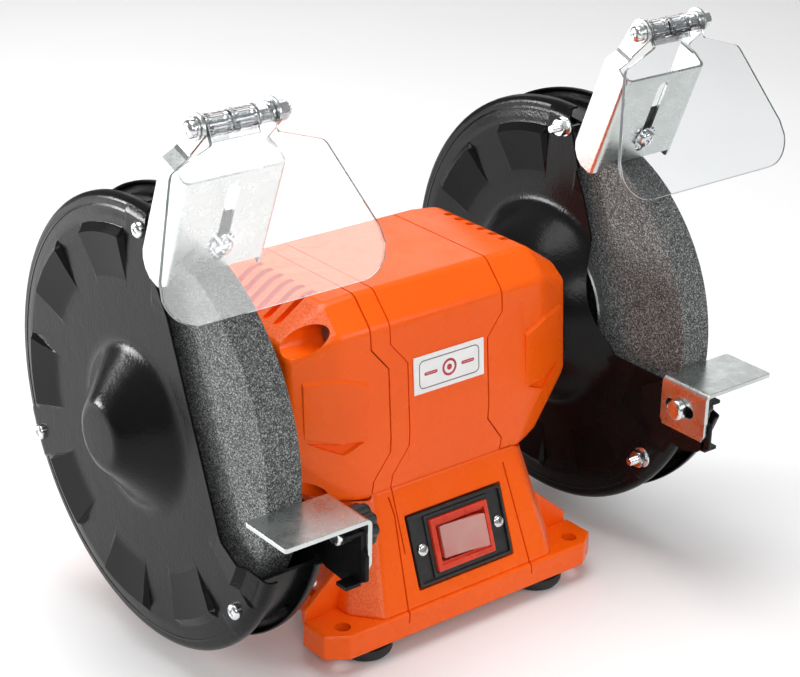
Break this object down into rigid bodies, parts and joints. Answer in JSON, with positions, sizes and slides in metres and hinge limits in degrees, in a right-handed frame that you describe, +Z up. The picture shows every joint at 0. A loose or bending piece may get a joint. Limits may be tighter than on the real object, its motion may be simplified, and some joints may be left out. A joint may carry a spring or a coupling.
{
  "type": "bench grinder",
  "caption": "Bench grinder: cast motor housing on a pedestal base, an abrasive wheel in a sheet guard at each end of the shaft, clear spark shields, tool rests and a rocker switch.",
  "frame": {"origin": "centre of the bounding box at the floor under the rubber feet; the motor shaft is at y = 8.8 mm, z = 128.9 mm and the motor's middle plane is x = 0", "axes": "+X along the motor shaft to the viewer's right when facing the switch, +Y to the back, +Z up"},
  "size_m": [0.3814, 0.248, 0.304],
  "materials": {
    "orange_paint": "gloss",
    "bearing_steel": "satin",
    "copper_winding": "satin",
    "black_paint": "satin",
    "label": "satin",
    "black_plastic": "satin",
    "laminated_iron": "matte",
    "capacitor_can": "satin",
    "zinc_plate": "satin",
    "foot_rubber": "matte",
    "switch_red": "satin",
    "clear_plastic": "polished",
    "abrasive": "matte"
  },
  "bodies": {
    "frame": {"centre_housing": "orange_paint", "end_bell_left": "orange_paint", "end_bell_right": "orange_paint", "bearing_left": "bearing_steel", "bearing_right": "bearing_steel", "winding_left": "copper_winding", "winding_right": "copper_winding", "bottom_plate": "black_paint", "guard_inner_left": "black_paint", "guard_inner_right": "black_paint", "guard_outer_left": "black_paint", "guard_outer_right": "black_paint", "guard_band_left": "black_paint", "guard_band_right": "black_paint", "rest_arm_left": "black_paint", "rest_arm_right": "black_paint", "label_plate": "label", "cable_gland": "black_plastic", "switch_bezel": "black_plastic", "stator_core": "laminated_iron", "capacitor": "capacitor_can", "through_bolt_1": "zinc_plate", "through_bolt_2": "zinc_plate", "through_bolt_3": "zinc_plate", "through_bolt_4": "zinc_plate", "bezel_screw_left": "zinc_plate", "bezel_screw_right": "zinc_plate", "clamp_screw_left": "zinc_plate", "clamp_screw_right": "zinc_plate", "foot_front_left": "foot_rubber", "foot_front_right": "foot_rubber", "foot_rear_left": "foot_rubber", "foot_rear_right": "foot_rubber", "switch_body": "switch_red"},
    "rotor": {"shaft": "bearing_steel", "rotor_core": "laminated_iron", "wheel_left": "abrasive", "wheel_flange_inner_left": "zinc_plate", "wheel_flange_outer_left": "zinc_plate", "spindle_nut_left": "zinc_plate", "wheel_right": "abrasive", "wheel_flange_inner_right": "zinc_plate", "wheel_flange_outer_right": "zinc_plate", "spindle_nut_right": "zinc_plate"},
    "rocker": {"rocker": "switch_red", "rocker_cover": "clear_plastic"},
    "bracket_left": {"shield_bracket_left": "zinc_plate", "hinge_bolt_left": "zinc_plate", "hinge_nut_left": "zinc_plate"},
    "shield_left": {"shield_left": "clear_plastic"},
    "rest_bolt_left": {"rest_bolt_left": "zinc_plate"},
    "tool_rest_left": {"tool_rest_left": "zinc_plate"},
    "knob_left": {"rest_knob_left": "black_plastic"},
    "bracket_right": {"shield_bracket_right": "zinc_plate", "hinge_bolt_right": "zinc_plate", "hinge_nut_right": "zinc_plate"},
    "shield_right": {"shield_right": "clear_plastic"},
    "rest_bolt_right": {"rest_bolt_right": "zinc_plate"},
    "tool_rest_right": {"tool_rest_right": "zinc_plate"},
    "knob_right": {"rest_knob_right": "black_plastic"}
  },
  "joints": [
    {"name": "wheel_spin", "type": "hinge", "parent": "frame", "child": "rotor", "pos_m": [0, 0.0088, 0.1289], "axis": [1, 0, 0], "continuous": true},
    {"name": "rocker_tilt", "type": "hinge", "parent": "frame", "child": "rocker", "pos_m": [0, -0.05508, 0.04748], "axis": [0, 0.3401, 0.9404], "range_deg": [0, 16]},
    {"name": "bracket_slide_left", "type": "slide", "parent": "frame", "child": "bracket_left", "axis": [0, -0.3551, 0.9348], "range_m": [-0.001, 0.006]},
    {"name": "shield_hinge_left", "type": "hinge", "parent": "bracket_left", "child": "shield_left", "pos_m": [-0.1324, -0.0552, 0.297], "axis": [-1, 0, 0], "range_deg": [-8, 120]},
    {"name": "rest_tilt_left", "type": "hinge", "parent": "frame", "child": "rest_bolt_left", "pos_m": [-0.1324, -0.1057, 0.109], "axis": [1, 0, 0], "range_deg": [0, 15]},
    {"name": "rest_slide_left", "type": "slide", "parent": "rest_bolt_left", "child": "tool_rest_left", "axis": [0, -1, 0], "range_m": [0, 0.0065]},
    {"name": "knob_turn_left", "type": "hinge", "parent": "rest_bolt_left", "child": "knob_left", "pos_m": [-0.1324, -0.1057, 0.109], "axis": [1, 0, 0], "continuous": true},
    {"name": "bracket_slide_right", "type": "slide", "parent": "frame", "child": "bracket_right", "axis": [0, -0.3551, 0.9348], "range_m": [-0.001, 0.006]},
    {"name": "shield_hinge_right", "type": "hinge", "parent": "bracket_right", "child": "shield_right", "pos_m": [0.1324, -0.0552, 0.297], "axis": [-1, 0, 0], "range_deg": [-8, 120]},
    {"name": "rest_tilt_right", "type": "hinge", "parent": "frame", "child": "rest_bolt_right", "pos_m": [0.1324, -0.1057, 0.109], "axis": [1, 0, 0], "range_deg": [0, 15]},
    {"name": "rest_slide_right", "type": "slide", "parent": "rest_bolt_right", "child": "tool_rest_right", "axis": [0, -1, 0], "range_m": [0, 0.0065]},
    {"name": "knob_turn_right", "type": "hinge", "parent": "rest_bolt_right", "child": "knob_right", "pos_m": [0.1324, -0.1057, 0.109], "axis": [1, 0, 0], "continuous": true}
  ]
}
